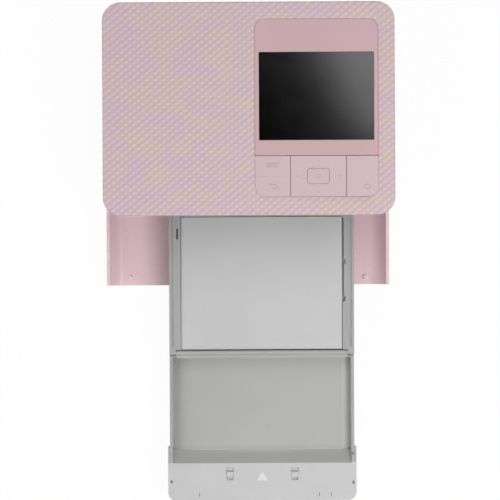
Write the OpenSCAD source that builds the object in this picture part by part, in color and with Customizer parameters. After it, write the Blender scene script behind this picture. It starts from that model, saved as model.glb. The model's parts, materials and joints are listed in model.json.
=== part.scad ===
// Compact photo printer, standing on its feet with its paper cassette loaded.
// The front door is folded down and the cassette's outer lid is folded open as the print tray.
// X runs to the right, Y to the rear and Z up. Inside the modules, Y is counted from the body's front face.

/* [Body] */
// Width of the body
body_w = 182.2; // [180:0.1:188]
// Depth of the body
body_d = 133; // [132:0.5:140]
// Height of the body with its feet
body_h = 57.6; // [57:0.1:61]
// Corner radius of the body, seen from above
body_r = 11.5; // [10:0.5:13]
// Thickness of the side walls and of the front door
wall = 2.2; // [2:0.1:2.6]
// Thickness of the top plate
top_t = 2.4; // [2:0.1:2.8]
// Height of the top cover's side band
cap_h = 3.8; // [3.4:0.1:4.4]
// Rounding of the top edge
edge_r = 1; // [0.6:0.1:1.4]

/* [Base] */
// Thickness of the base plate
base_t = 2; // [1.6:0.1:2.2]
// Height of the base's upstanding rim
rim_h = 7.4; // [6.6:0.1:7.8]
// Height of the rubber feet
foot_h = 1.6; // [1.4:0.1:2]
// Diameter of the rubber feet
foot_d = 9; // [7:0.5:11]
// Distance of the feet from the body's side faces
foot_side = 21.1; // [19:0.1:31]
// Distance of the front feet from the front face
foot_front = 24; // [22:1:30]
// Distance of the rear feet from the rear face
foot_rear = 16; // [14:1:24]
// Diameter of the posts that carry the top cover
post_d = 6; // [5.6:0.1:6.4]
// Diameter of the screws through the base
screw_d = 2.6; // [2.4:0.1:2.8]

/* [Front door] */
// Distance of the door's pivot behind the front face
door_pivot_y = 4.2; // [4.2:0.1:4.6]
// Height of the opened door's underside above the floor
door_lift = 0.8; // [0.6:0.1:1.2]
// Gap between the door and the front fascia
door_gap = 0.4; // [0.3:0.05:0.6]
// Diameter of the door's hinge pins
door_pin_d = 1.6; // [1.4:0.1:1.8]
// Distance of the door's hinges from the body's side faces
hinge_side = 18.1; // [16:0.1:21]
// Thickness of the front fascia
fascia_t = 2; // [1.6:0.1:2.2]

/* [Display and keys] */
// Width of the smooth display area
panel_w = 77.2; // [76:0.1:79]
// Distance of the display area from the body's right face
panel_right = 10.3; // [9.5:0.1:11.5]
// Distance of the display area from the front face
panel_front = 11.3; // [10.8:0.1:12]
// Distance of the display area from the rear face
panel_rear = 10.7; // [9.5:0.1:12]
// Corner radius of the display area
panel_r = 6.5; // [5:0.5:8]
// Depth of the recess that the display area lies in
panel_t = 2; // [1.8:0.1:2.2]
// Length of the key area
key_l = 25.8; // [24:0.1:27]
// Width of the menu key
menu_w = 22.2; // [21:0.1:23]
// Width of the four-way pad
pad_w = 34.8; // [33:0.1:36]
// Width of the middle button
ok_w = 13.6; // [12:0.1:15]
// Length of the middle button
ok_l = 9.5; // [8.5:0.1:10.5]
// Corner radius of the middle button
ok_r = 1.9; // [1:0.1:2.5]
// Thickness of the keys
key_t = 1.2; // [1:0.1:1.3]
// Travel of the keys
key_travel = 0.5; // [0.3:0.1:0.5]
// Gap around the keys
key_gap = 0.15; // [0.1:0.05:0.25]
// Distance of the screen window from the sides of the display area
screen_side = 2.8; // [2.6:0.1:4]
// Distance of the screen window from the rear of the display area
screen_rear = 20.75; // [19:0.05:22]
// Distance of the screen window from the keys
screen_front = 9.55; // [8.5:0.05:11]
// Thickness of the screen module
module_t = 3; // [2.6:0.1:3]

/* [Paper cassette] */
// Room left of the cassette, for the boards, motors and gears
left_room = 40.4; // [40:0.1:41.4]
// Room right of the cassette, for the ink cassette's handle
right_room = 23.8; // [23.5:0.1:24.8]
// Height of the cassette's underside above the floor
tray_z = 9; // [8.8:0.1:9.4]
// Gap between the cassette's rails and the paper path
path_gap = 12.2; // [12:0.1:12.4]
// Distance of the cassette's rear end from the rear face
tray_rear = 47.5; // [47:0.1:49]
// Reach of the opened tray in front of the body
tray_reach = 182; // [178:0.5:186]
// Distance of the lid hinge in front of the body
hinge_reach = 87.1; // [85:0.1:88]
// Radius of the outer lid's hinge barrel
barrel_r = 1.4; // [1.2:0.1:1.5]
// Height of the outer lid
lid_h = 10.6; // [10:0.1:11]
// Depth of the gutters beside the outer lid's floor
gutter_h = 1.6; // [1:0.1:2]
// Wall thickness of the cassette and its lids
tray_wall = 1.6; // [1.4:0.1:1.8]
// Overhang of the outer lid's end part, each side
lip_over = 1.25; // [1.1:0.05:2]
// Length of the outer lid's end part
lip_l = 34.3; // [32:0.1:38]
// Length of the flat lip
lip_flat = 24.1; // [22:0.1:26]
// Length of the slope before the lip
lip_slope = 8.3; // [6:0.1:9]
// Corner radius of the tray's end
lip_r = 5.5; // [4:0.5:7]
// Width of the rails beside the paper
rail_w = 9; // [9:0.1:10]
// Room beside the paper in its well
paper_gap = 0.5; // [0.3:0.1:0.7]
// Seat of the inner lid on each rail
lid_seat = 1; // [0.8:0.1:1.2]
// Length of the paper
paper_l = 148; // [146:0.5:148]
// Share of the cassette's inner height that the paper stack takes
stack_share = 0.52; // [0.3:0.01:0.52]

/* [Print mechanism] */
// Thickness of the side plates
plate_t = 1.2; // [1:0.1:1.4]
// Gap between the cassette and the side plates
plate_gap = 4.2; // [3.8:0.1:4.4]
// Room above the paper path, for the ink cassette and the screen
head_room = 20.4; // [20.2:0.1:20.6]
// Radius of the platen roller
platen_r = 5; // [4.6:0.1:5.2]
// Distance of the platen roller from the rear face
platen_rear = 43; // [42:0.5:44]
// Radius of the capstan roller and of the pinch roller
capstan_r = 3.5; // [3.4:0.1:3.6]
// Distance of the capstan roller from the rear face
capstan_rear = 13; // [12.5:0.5:13.5]
// Radius of the pickup roller
pickup_r = 7; // [6.6:0.1:7.2]
// Distance of the pickup roller from the rear face
pickup_rear = 63; // [62.5:0.5:64]
// Radius of the roller shafts
shaft_r = 2; // [1.8:0.1:2.1]
// Running clearance of a shaft in its bore
fit = 0.05; // [0.03:0.01:0.08]
// Tooth size of the gears
gear_m = 0.6; // [0.6:0.01:0.61]
// Thickness of the gears
gear_t = 4; // [3:0.5:4]
// Teeth of the roller gears
roller_teeth = 24; // [24:1:24]
// Teeth of the rear idler
rear_teeth = 28; // [28:1:28]
// Teeth of the front idler
front_teeth = 20; // [20:1:20]
// Teeth of the motor pinions
pinion_teeth = 12; // [12:1:12]
// Teeth of the head lift sector, counted all round
sector_teeth = 40; // [40:1:40]
// Radius of the feed motor
feed_motor_r = 11; // [10:0.1:11]
// Gap between the feed motor and the post beside it
motor_gap = 0.6; // [0.4:0.1:3]
// Radius of the head lift motor
head_motor_r = 9; // [8:0.1:9]
// Length of the head lift motor
head_motor_l = 14; // [12:0.5:15]

/* [Ink cassette] */
// Radius of the wound film on the supply spool
supply_r = 5.2; // [4.6:0.1:5.2]
// Radius of the wound film on the take-up spool
takeup_r = 3.6; // [3.4:0.1:4.4]
// Radius of the spool cores
core_r = 3; // [2.6:0.1:3.2]
// Distance of the supply spool from the rear face
supply_rear = 64.5; // [64:0.1:65]
// Distance of the take-up spool from the rear face
takeup_rear = 25; // [24.8:0.1:25.4]
// Half width of the housing around a spool
lobe_r = 7.2; // [7:0.1:7.3]
// Wall thickness of the ink cassette
ink_wall = 1; // [0.8:0.1:1]
// Depth of the ink door's hinge below the paper path
ink_pivot_drop = 2.9; // [2.2:0.1:3.2]
// Length of the ink door
ink_door_l = 59; // [58:0.5:59.5]
// Distance of the ink door from the rear face
ink_door_gap = 15; // [15:0.5:16]

/* [Connectors] */
// Thickness of the circuit boards
board_t = 1.6; // [1.2:0.1:1.6]
// Height of the main board's bosses
boss_h = 5; // [4.5:0.1:5.4]
// Width of the memory card slot
card_w = 24.5; // [24.2:0.1:26]
// Height of the memory card slot
card_h = 3.2; // [3:0.1:3.6]
// Width of the USB port
usb_w = 9; // [8.8:0.1:9.6]
// Height of the USB port
usb_h = 3.3; // [3.1:0.1:3.6]
// Radius of the power inlet's bore
inlet_r = 2.9; // [2.6:0.1:3]

/* [Hidden] */
$fn = 48;

// Places that follow the body's width, depth and height
path_z = body_h - head_room;
ink_pivot_z = path_z - ink_pivot_drop;
foot_x = body_w / 2 - foot_side;
door_hinge_x = body_w / 2 - hinge_side;
tray_w = body_w - left_room - right_room;
tray_x = (left_room - right_room) / 2;
well_w = tray_w - 2 * rail_w + 2 * paper_gap;
paper_w = well_w - 2 * paper_gap;
inner_w = well_w + 2 * lid_seat;
lip_w = tray_w + 2 * lip_over;
tray_in = body_d - tray_rear;
platen_y = body_d - platen_rear;
capstan_y = body_d - capstan_rear;
pickup_y = body_d - pickup_rear;
supply_y = body_d - supply_rear;
takeup_y = body_d - takeup_rear;
ink_door_rear = body_d - ink_door_gap;
ink_door_front = ink_door_rear - ink_door_l;
panel_l = body_d - panel_front - panel_rear;
panel_x = body_w / 2 - panel_right - panel_w / 2;
screen_w = panel_w - 2 * screen_side;
screen_l = panel_l - key_l - screen_rear - screen_front;
screen_y = body_d - panel_rear - screen_rear - screen_l / 2;

// Levels of the body
front_y = (tray_reach - body_d) / 2;
floor_z = foot_h + base_t;
rim_z = foot_h + rim_h;
cap_z = body_h - cap_h;
plate_z = body_h - top_t;
recess_z = body_h - panel_t;
ledge_t = 1.6;
ledge_z = recess_z - ledge_t;
seat_gap = 0.3;

// Front door
door_pivot_z = door_pivot_y + door_lift;
door_bottom = 2.6;
door_top = cap_z - door_gap;
door_end = norm([body_r - door_pivot_y, door_pivot_z - door_bottom]) + door_pivot_y + seat_gap;
hinge_r = door_pivot_y - wall - seat_gap;
hinge_w = 6;
ear_w = 3.6;
fascia_y = wall + door_gap;
fascia_z = 8.2;
fascia_tab = 4;
latch_x = body_w / 2 - 15.1;
latch_w = 3.4;
latch_h = 0.9;
latch_drop = 5;

// Posts, screws and their recesses
post_x = body_w / 2 - wall - 5.9;
post_front = 22;
post_rear = body_d - wall - 7;
post_z = floor_z + 2.4;
screw_head_r = 2.4;
screw_head_h = 1.5;
screw_l = 9;

// Display area
panel_side = panel_x - panel_w / 2;
key_split = panel_front + key_l;
menu_end = panel_side + menu_w;
pad_end = menu_end + pad_w;
pad_mid = menu_end + pad_w / 2;
key_mid = panel_front + key_l / 2;
screen_ledge = 1.3;
stem_d = 3;
stem_gap = 0.3;
key_z = body_h - key_t;
board_top = ledge_z - 1.4;
switch_h = 0.6;
switch_w = 4.6;
stem_z = board_top + switch_h + key_travel + 0.1;
pad_stem_x = 12.6;
pad_stem_y = 9.2;
menu_stem_y = 8;
ridge_r = 0.5;
ridge_inset = 1.5;
board_post_d = 5;

// Cassette
rail_top = path_z - path_gap;
lid_axis_y = -hinge_reach;
lid_axis_z = rail_top - barrel_r;
lid_top = 2 * lid_axis_z - rail_top - 0.2;
lid_z = lid_top - lid_h;
lid_start = lid_axis_y - barrel_r - 0.4;
base_start = lid_axis_y + barrel_r + 0.4;
bar_t = 2;
lid_rest = rail_top - 2.7;
lid_t = 1.5;
deck_z = lid_rest + lid_t;
deck_l = 42;
inner_r = 1.2;
inner_axis_y = base_start + inner_r + 0.1;
inner_axis_z = deck_z - inner_r;
lid_gap = 0.3;
ear_l = 4;
well_start = base_start + bar_t;
well_end = tray_in - tray_wall;
paper_top = lid_rest - 0.7;
lift_t = 1;
tray_floor = tray_z + tray_wall;
stack_h = stack_share * (paper_top - tray_floor - lift_t);
lift_z = paper_top - stack_h - lift_t;
lift_axis_y = well_end - 0.5 - paper_l - 1.6;
lift_axis_r = 0.9;
lift_pin_r = 0.7;
paper_rear = well_end - 0.5;
outer_pin_r = 0.8;
inner_pin_r = 0.6;
stop_w = 4.2;
stop_l = 3.2;
stop_h = 0.9;
stop_x = 20.8;
stop_y = lip_flat - 7.2;
stop_dip = 2.4;
stop_depth = 1;
slot_gap = 0.6;
slot_top = path_z + 2.4;

// Mechanism: [distance from the front face, height] of each shaft
left_x = tray_x - tray_w / 2 - plate_gap;
right_x = tray_x + tray_w / 2 + plate_gap;
plate_top = body_h - panel_t - ledge_t - module_t - 0.3;
plate_front = 14;
plate_rear = body_d - 7;
platen_at = [platen_y, path_z - platen_r];
capstan_at = [capstan_y, path_z - capstan_r];
pinch_at = [capstan_y, path_z + capstan_r + seat_gap];
pickup_at = [pickup_y, paper_top + seat_gap + pickup_r];
bush_r = 3.2;
tie_front = [plate_front + 6, plate_top - 5.7];
tie_rear = [capstan_y + 3, path_z - 15];
bush_flange_r = 3.55;
bush_flange_t = 0.8;
roller_l = paper_w + 6;
gear_gap = 0.3;
gear_x0 = left_x - plate_t - 1 - gear_gap;
gear_x1 = gear_x0 - gear_t;
shaft_left = gear_x1 - 0.4;
shaft_right = right_x + plate_t + 1;
bracket_x = gear_x1 - 1.8;
bracket_t = 1.2;
feed_motor_l = bracket_x - bracket_t + post_x - post_d / 2 - motor_gap;

// Distance between the axes of two gears in mesh, and the place of a gear that meshes with two others
function pitch_r(teeth) = gear_m * teeth / 2;
function mesh_distance(a, b) = pitch_r(a) + pitch_r(b);
function meet(p, q, rp, rq, side) =
    let (d = norm(q - p), a = (rp * rp - rq * rq + d * d) / (2 * d), h = sqrt(rp * rp - a * a), u = (q - p) / d)
    p + a * u + side * h * [-u[1], u[0]];
function bearing(p, q) = atan2(q[1] - p[1], q[0] - p[0]);
function mesh_phase(phase_a, teeth_a, teeth_b, toward) =
    toward + 180 + (180 - (phase_a - toward) * teeth_a) / teeth_b;

rear_at = meet(platen_at, capstan_at, mesh_distance(roller_teeth, rear_teeth),
    mesh_distance(roller_teeth, rear_teeth), -1);
front_at = meet(pickup_at, platen_at, mesh_distance(roller_teeth, front_teeth),
    mesh_distance(roller_teeth, front_teeth), -1);
feed_bearing = 135;
feed_at = capstan_at + mesh_distance(roller_teeth, pinion_teeth) * [cos(feed_bearing), sin(feed_bearing)];
head_at = [platen_y + 6.8, path_z + 9.3];
head_bearing = 188;
lift_at = head_at + mesh_distance(sector_teeth, pinion_teeth) * [cos(head_bearing), sin(head_bearing)];

// Gear phases, from the capstan outwards
capstan_phase = 0;
rear_phase = mesh_phase(capstan_phase, roller_teeth, rear_teeth, bearing(capstan_at, rear_at));
platen_phase = mesh_phase(rear_phase, rear_teeth, roller_teeth, bearing(rear_at, platen_at));
front_phase = mesh_phase(platen_phase, roller_teeth, front_teeth, bearing(platen_at, front_at));
pickup_phase = mesh_phase(front_phase, front_teeth, roller_teeth, bearing(front_at, pickup_at));
feed_phase = mesh_phase(capstan_phase, roller_teeth, pinion_teeth, bearing(capstan_at, feed_at));
lift_phase = mesh_phase(head_bearing, sector_teeth, pinion_teeth, head_bearing);

// Ink cassette
ink_z = path_z + 0.2;
ink_top = path_z + 12.2;
spool_z = ink_z + 5.5;
ink_left = left_x + seat_gap;
ink_grip = 4;
ink_handle_t = 2;
ink_right = body_w / 2 - wall - 2.9 - ink_grip - ink_handle_t;
ink_gap = 0.35;
journal_r = 2;
film_w = paper_w + 2;
film_t = 0.1;
film_z = spool_z - supply_r - 0.3;
spool_end = film_w / 2 + 1.5;
ink_inner_end = right_x - 5;
ink_bar_h = 2.5;
head_z = path_z + 0.9;
head_l = paper_w + 6;
head_t = 1.2;
head_bead = 0.3;
arm_t = 1;
ink_door_top = cap_z - 2.6;
eject_x = right_x + 4;
eject_z = path_z + 9.3;
eject_w = 3.2;
eject_lift = 1.2;
eject_stud_r = 1;

// Connectors
board_z = floor_z + boss_h;
board_right = left_x - plate_t - 1;
board_left = post_d / 2 + 1.1 - post_x;
board_front = 14;
board_rear = body_d - 15;
card_y = 30;
card_l = 26;
usb_y = card_y + card_w + 11.5;
usb_l = 7.4;
inlet_x = 21.1 - body_w / 2;
inlet_w = 9;
inlet_l = 13;
inlet_h = 11;
inlet_bore = 9;
cap_x = 34;
cap_w = 30;
cap_l = 11;
cap_bottom = rim_z + 1.5;
vent_count = 9;
vent_w = 1.6;
vent_pitch = 3.6;
vent_h = 16;
vent_z = 22;
vent_start = body_d - 63;

// ---- Shared shapes ----

module from_front() {
    translate([0, front_y, 0]) children();
}

// Rounded rectangle, its front edge on the X axis
module plan(w, d, r) {
    translate([-w / 2 + r, 0]) square([w - 2 * r, d]);
    translate([-w / 2, r]) square([w, d - 2 * r]);
    for (x = [-w / 2 + r, w / 2 - r]) {
        for (y = [r, d - r]) {
            translate([x, y]) circle(r, $fn = 64);
        }
    }
}

module body_plan(inset) {
    translate([0, inset]) plan(body_w - 2 * inset, body_d - 2 * inset, body_r - inset);
}

module display_plan(inset) {
    translate([panel_x, panel_front + inset]) plan(panel_w - 2 * inset, panel_l - 2 * inset, panel_r - inset);
}

// Wall ring between two insets of the body's outline, from y0 to y1
module wall_ring(outer, inner, y0, y1) {
    intersection() {
        difference() {
            body_plan(outer);
            body_plan(inner);
        }
        translate([-body_w, y0]) square([2 * body_w, y1 - y0]);
    }
}

// Rod, disc or bore along X at a [y, z] place
module x_rod(r, x0, x1, at) {
    translate([x0, at[0], at[1]]) rotate([0, 90, 0]) cylinder(r = r, h = x1 - x0);
}

// Profile of [x, z] points, drawn out along Y
module y_profile(points, y0, y1) {
    translate([0, y1, 0]) rotate([90, 0, 0]) linear_extrude(y1 - y0) polygon(points);
}

// Side profile of [y, z] points, drawn out along X
module x_profile(points, x0, x1) {
    translate([x0, 0, 0]) rotate([90, 0, 90]) linear_extrude(x1 - x0) polygon(points);
}

// Box from its lowest to its highest corner
module span(a, b) {
    translate(a) cube(b - a);
}

// Involute gear outline with a little backlash
pressure = 20;
backlash = 1.2;
function roll(rb, r) = acos(min(1, rb / r));
function involute_turn(rb, r) = tan(roll(rb, r)) * 180 / PI - roll(rb, r);
function tooth_half(teeth, r) =
    let (rp = pitch_r(teeth), rb = rp * cos(pressure))
    90 / teeth - backlash * 12 / teeth + involute_turn(rb, rp) - involute_turn(rb, max(rb, r));
function tooth_points(teeth, root, tip) =
    let (radii = [root, (root + pitch_r(teeth)) / 2, pitch_r(teeth), (pitch_r(teeth) + tip) / 2, tip])
    [for (i = [0 : teeth - 1], side = [-1, 1], k = [0 : 4])
        let (r = radii[side < 0 ? k : 4 - k], a = 360 * i / teeth + side * tooth_half(teeth, r))
        r * [cos(a), sin(a)]];

module gear(teeth, phase, at, bore_r) {
    rp = pitch_r(teeth);
    translate([gear_x1, at[0], at[1]]) rotate([90, 0, 90]) linear_extrude(gear_t) difference() {
        rotate(phase) polygon(tooth_points(teeth, rp - 1.15 * gear_m, rp + 0.85 * gear_m));
        circle(bore_r);
    }
}

// ---- Body ----

module post_places() {
    for (x = [-post_x, post_x]) {
        for (y = [post_front, post_rear]) {
            translate([x, y, 0]) children();
        }
    }
}

module board_bosses(top) {
    for (x = [board_right - 3, board_left + 3]) {
        for (y = [board_front + 4, board_rear - 4]) {
            translate([x, y, floor_z]) cylinder(d = 4, h = top - floor_z);
        }
    }
}

module base_pan() {
    ear_back = door_end + 1;
    runner_w = 5;
    color("#b9a3a7") from_front() difference() {
        union() {
            translate([0, 0, foot_h]) linear_extrude(base_t) intersection() {
                body_plan(0);
                translate([-body_w, door_end]) square([2 * body_w, body_d]);
            }
            translate([0, 0, foot_h]) linear_extrude(rim_h) wall_ring(0, wall, door_end, body_d);
            for (side = [-1, 1]) {
                translate([tray_x + side * (tray_w / 2 - runner_w) - runner_w / 2, door_end, floor_z])
                    cube([runner_w, tray_in - door_end, tray_z - floor_z - 0.2]);
                translate([side > 0 ? right_x - 3 : left_x, tray_in - 8, floor_z])
                    cube([3, 10, tray_z - floor_z + 4]);
                for (ear = [-1, 1]) {
                    translate([side * door_hinge_x + ear * (hinge_w / 2 + 0.3 + ear_w / 2), 0, 0]) {
                        x_rod(hinge_r, -ear_w / 2, ear_w / 2, [door_pivot_y, door_pivot_z]);
                        translate([-ear_w / 2, door_pivot_y, door_pivot_z - hinge_r])
                            cube([ear_w, ear_back - door_pivot_y, 2 * hinge_r]);
                    }
                }
            }
            post_places() translate([0, 0, floor_z]) cylinder(d = post_d + 2, h = post_z - floor_z);
            board_bosses(board_z);
        }
        post_places() {
            translate([0, 0, foot_h - 1]) cylinder(d = screw_d + 0.3, h = 20);
            translate([0, 0, foot_h - 1]) cylinder(r = screw_head_r + 0.2, h = 1 + screw_head_h + 0.2);
        }
        for (side = [-1, 1]) {
            x_rod(door_pin_d / 2 + fit, side * door_hinge_x - 10, side * door_hinge_x + 10,
                [door_pivot_y, door_pivot_z]);
        }
    }
}

module case_wall() {
    slot_half = paper_w / 2 + 3;
    color("#cdb6bb") from_front() difference() {
        translate([0, 0, rim_z]) linear_extrude(cap_z - rim_z) wall_ring(0, wall, door_end, body_d);
        // ink door opening in the right wall, and the bore for its hinge pin
        span([body_w / 2 - wall - 1, ink_door_front, ink_pivot_z - wall / 2 - seat_gap],
            [body_w / 2 + 1, ink_door_rear, ink_door_top]);
        translate([body_w / 2 - wall / 2, ink_door_front - 3, ink_pivot_z]) rotate([-90, 0, 0])
            cylinder(r = wall / 4 + fit, h = ink_door_rear - ink_door_front + 6);
        // paper slot in the rear wall
        span([tray_x - slot_half, body_d - wall - 1, path_z - 2.2], [tray_x + slot_half, body_d + 1, slot_top]);
        // power inlet, battery cover and vents in the rear wall
        span([inlet_x - inlet_w / 2 + 1, body_d - wall - 1, board_z + board_t + 1],
            [inlet_x + inlet_w / 2 - 1, body_d + 1, board_z + board_t + inlet_h - 1]);
        span([cap_x - cap_w / 2, body_d - wall - 1, cap_bottom], [cap_x + cap_w / 2, body_d + 1, cap_bottom + cap_l]);
        // memory card and USB openings, and vents, in the left wall
        span([-body_w / 2 - 1, card_y + 0.4, board_z + board_t + 0.5],
            [-body_w / 2 + wall + 1, card_y + card_w - 0.4 + 1.6, board_z + board_t + card_h - 0.5]);
        span([-body_w / 2 - 1, usb_y + 0.3, board_z + board_t + 0.3],
            [-body_w / 2 + wall + 1, usb_y + usb_w - 0.3, board_z + board_t + usb_h - 0.3]);
        for (i = [0 : vent_count - 1]) {
            translate([-body_w / 2 - 1, vent_start + i * vent_pitch, vent_z]) cube([wall + 2, vent_w, vent_h]);
        }
    }
}

// Plate with a rounded top edge, made of the body's outline
module soft_plate(z0, z1, r) {
    hull() for (x = [-body_w / 2 + body_r, body_w / 2 - body_r]) {
        for (y = [body_r, body_d - body_r]) {
            for (a = [0 : 30 : 90]) {
                translate([x, y, z0]) cylinder(r = body_r - r + r * cos(a), h = z1 - z0 - r + r * sin(a), $fn = 64);
            }
        }
    }
}

module stem_places() {
    for (side = [-1, 1]) {
        translate([panel_side + menu_w / 2, key_mid + side * menu_stem_y, 0]) children();
        translate([pad_mid + side * pad_stem_x, key_mid, 0]) children();
        translate([pad_mid, key_mid + side * pad_stem_y, 0]) children();
    }
    translate([pad_mid, key_mid, 0]) children();
    translate([(pad_end + panel_side + panel_w) / 2, key_mid, 0]) children();
}

module control_posts() {
    for (x = [panel_side + 3, panel_side + panel_w - 3]) {
        for (y = [panel_front + 6, key_split]) {
            translate([x, y, 0]) children();
        }
    }
}

module top_cover() {
    rib = 1.6;
    color("#cab7bb") from_front() difference() {
        union() {
            difference() {
                soft_plate(cap_z, body_h, edge_r);
                translate([0, 0, cap_z - 1]) linear_extrude(plate_z - cap_z + 1) body_plan(wall);
            }
            translate([0, 0, ledge_z]) linear_extrude(body_h - ledge_z - edge_r) display_plan(-rib);
            post_places() translate([0, 0, post_z]) cylinder(d = post_d, h = plate_z - post_z + 0.5);
            control_posts() translate([0, 0, board_top]) cylinder(d = board_post_d, h = ledge_z - board_top + 0.5);
        }
        translate([0, 0, recess_z]) linear_extrude(panel_t + 1) display_plan(0);
        // window for the screen, and holes for the key stems
        translate([panel_x, screen_y, ledge_z - 1]) linear_extrude(ledge_t + 2)
            square([screen_w - 2 * screen_ledge, screen_l - 2 * screen_ledge], center = true);
        stem_places() translate([0, 0, ledge_z - 1]) cylinder(d = stem_d + 2 * stem_gap, h = ledge_t + 2);
        post_places() translate([0, 0, post_z - 1]) cylinder(d = screw_d - 0.3, h = screw_l + 1);
    }
}

module display_panel() {
    color("#c8a8ac") from_front() translate([0, 0, recess_z]) linear_extrude(panel_t) difference() {
        intersection() {
            display_plan(key_gap);
            translate([panel_side, key_split]) square([panel_w, panel_l]);
        }
        translate([panel_x, screen_y]) square([screen_w, screen_l], center = true);
    }
}

module screen_glass() {
    color("#101012") from_front() translate([panel_x, screen_y, recess_z + panel_t / 2])
        cube([screen_w - 0.1, screen_l - 0.1, panel_t], center = true);
}

module screen_module() {
    frame_w = screen_w + 2;
    frame_l = screen_l + 2.6;
    color("#8d9093") from_front() translate([panel_x, screen_y, ledge_z - module_t / 2]) {
        cube([frame_w, frame_l, module_t], center = true);
    }
}

module control_board() {
    color("#2e6b4a") from_front() {
        difference() {
            span([panel_side - 1, panel_front, board_top - board_t],
                [panel_side + panel_w - 1.5, key_split + 4, board_top]);
            control_posts() translate([0, 0, board_top - board_t - 1]) cylinder(d = 2.2, h = board_t + 2);
        }
        stem_places() translate([-switch_w / 2, -switch_w / 2, board_top]) cube([switch_w, switch_w, switch_h]);
    }
}

module front_fascia() {
    slot_x0 = tray_x - tray_w / 2 - slot_gap;
    slot_x1 = tray_x + tray_w / 2 + slot_gap;
    color("#8f8184") from_front() difference() {
        union() {
            translate([0, 0, fascia_z]) linear_extrude(plate_z - fascia_z)
                wall_ring(fascia_y, fascia_y + fascia_t, 0, door_end + fascia_tab);
            translate([0, 0, fascia_z]) linear_extrude(cap_z - fascia_z)
                wall_ring(wall, fascia_y + fascia_t, door_end + 0.2, door_end + fascia_tab);
        }
        span([slot_x0, -1, fascia_z - 1], [slot_x1, fascia_y + fascia_t + 1, slot_top]);
        // sockets for the door's latch bumps
        for (x = [-latch_x, latch_x]) {
            translate([x, fascia_y - 1, door_top - latch_drop]) rotate([-90, 0, 0])
                cylinder(d = latch_w + 1, h = fascia_t + 2);
        }
    }
}

module rubber_feet() {
    color("#3a3a3c") from_front() for (x = [-foot_x, foot_x]) {
        for (y = [foot_front, body_d - foot_rear]) {
            translate([x, y, 0]) cylinder(d = foot_d, h = foot_h);
            translate([x, y, 0.4]) cylinder(d = foot_d - 1, h = foot_h - 0.4);
        }
    }
}

module case_screws() {
    color("#6f7276") from_front() post_places() translate([0, 0, foot_h + 0.2]) difference() {
        union() {
            cylinder(r = screw_head_r, h = screw_head_h - 0.2);
            cylinder(d = screw_d - 0.32, h = screw_l + post_z - floor_z - 1);
        }
        translate([0, 0, -0.1]) linear_extrude(0.9) {
            square([2.6, 0.6], center = true);
            square([0.6, 2.6], center = true);
        }
    }
}

module battery_cap() {
    gap = 0.15;
    color("#cdb6bb") from_front() {
        span([cap_x - cap_w / 2 + gap, body_d - wall, cap_bottom + gap],
            [cap_x + cap_w / 2 - gap, body_d, cap_bottom + cap_l - gap]);
        span([cap_x - cap_w / 2 - 1.5, body_d - wall - 1.2, cap_bottom - 1],
            [cap_x + cap_w / 2 + 1.5, body_d - wall, cap_bottom + cap_l + 1]);
    }
}

// ---- Boards and connectors ----

module main_board() {
    top = board_z + board_t;
    chip_w = 10;
    memory_w = 8;
    chip_t = 1.4;
    chip_x = board_right - 4.9;
    coil_w = 6;
    coil_h = 3;
    coil_x = board_right - 2.9;
    cap_d = 4;
    color("#2e6b4a") from_front() {
        span([board_left, board_front, board_z], [board_right, board_rear, top]);
        // processor, memory, coil and capacitors
        translate([chip_x - chip_w, board_rear - 28, top]) cube([chip_w, chip_w, chip_t]);
        translate([chip_x - memory_w, board_rear - 14, top]) cube([memory_w, memory_w, chip_t]);
        translate([coil_x - coil_w, usb_y - 4, top]) cube([coil_w, coil_w, coil_h]);
        for (x = [board_right - 5.9, board_right - 10.6]) {
            translate([x, usb_y + 5.5, top]) cylinder(d = cap_d, h = coil_h);
        }
    }
}

module power_inlet() {
    z = board_z + board_t;
    half = inlet_w / 2 - 1.3;
    inner_y = body_d - wall - 0.1;
    color("#2b2b2d") from_front() difference() {
        union() {
            span([inlet_x - half, inner_y - inlet_l, z], [inlet_x + half, inner_y, z + inlet_h - 1.3]);
            span([inlet_x - half, inner_y - 0.1, z + 1.3], [inlet_x + half, body_d - 0.3, z + inlet_h - 1.3]);
        }
        translate([inlet_x, body_d - inlet_bore, z + inlet_h / 2]) rotate([-90, 0, 0])
            cylinder(r = inlet_r, h = inlet_bore + 1);
    }
    color("#c9c9c9") from_front() translate([inlet_x, body_d - inlet_bore - 1, z + inlet_h / 2]) rotate([-90, 0, 0])
        cylinder(r = 0.9, h = inlet_bore - 0.5);
}

module usb_port() {
    z = board_z + board_t;
    x0 = -body_w / 2 + wall + 0.2;
    x1 = board_left + 4;
    lip = 0.5;
    color("#b4b6b8") from_front() difference() {
        span([x0, usb_y, z], [x1, usb_y + usb_w, z + usb_h]);
        span([x0 - 1, usb_y + lip, z + lip], [x0 + usb_l, usb_y + usb_w - lip, z + usb_h - lip]);
    }
    color("#2b2b2d") from_front() span([x0 + 0.8, usb_y + 1.2, z + usb_h / 2 - 0.35],
        [x0 + usb_l + 0.1, usb_y + usb_w - 1.2, z + usb_h / 2 + 0.35]);
}

module card_slot() {
    z = board_z + board_t;
    x0 = -body_w / 2 + wall + 0.2;
    color("#9b9ea1") from_front() difference() {
        span([x0, card_y, z], [x0 + card_l, card_y + card_w + 1.6, z + card_h]);
        span([x0 - 1, card_y + 0.8, z + 0.5], [x0 + card_l - 2, card_y + card_w + 0.8, z + card_h - 0.5]);
    }
}

// ---- Print mechanism ----

module plate_outline(flange, x, out) {
    span([x, plate_front, floor_z], [x + plate_t, plate_rear, plate_top]);
    flange_l = 12;
    for (y = [plate_front + 6, plate_rear - flange_l - 14]) {
        span([out > 0 ? x : x - flange, y, floor_z],
            [out > 0 ? x + plate_t + flange : x + plate_t, y + flange_l, floor_z + plate_t]);
    }
}

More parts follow.
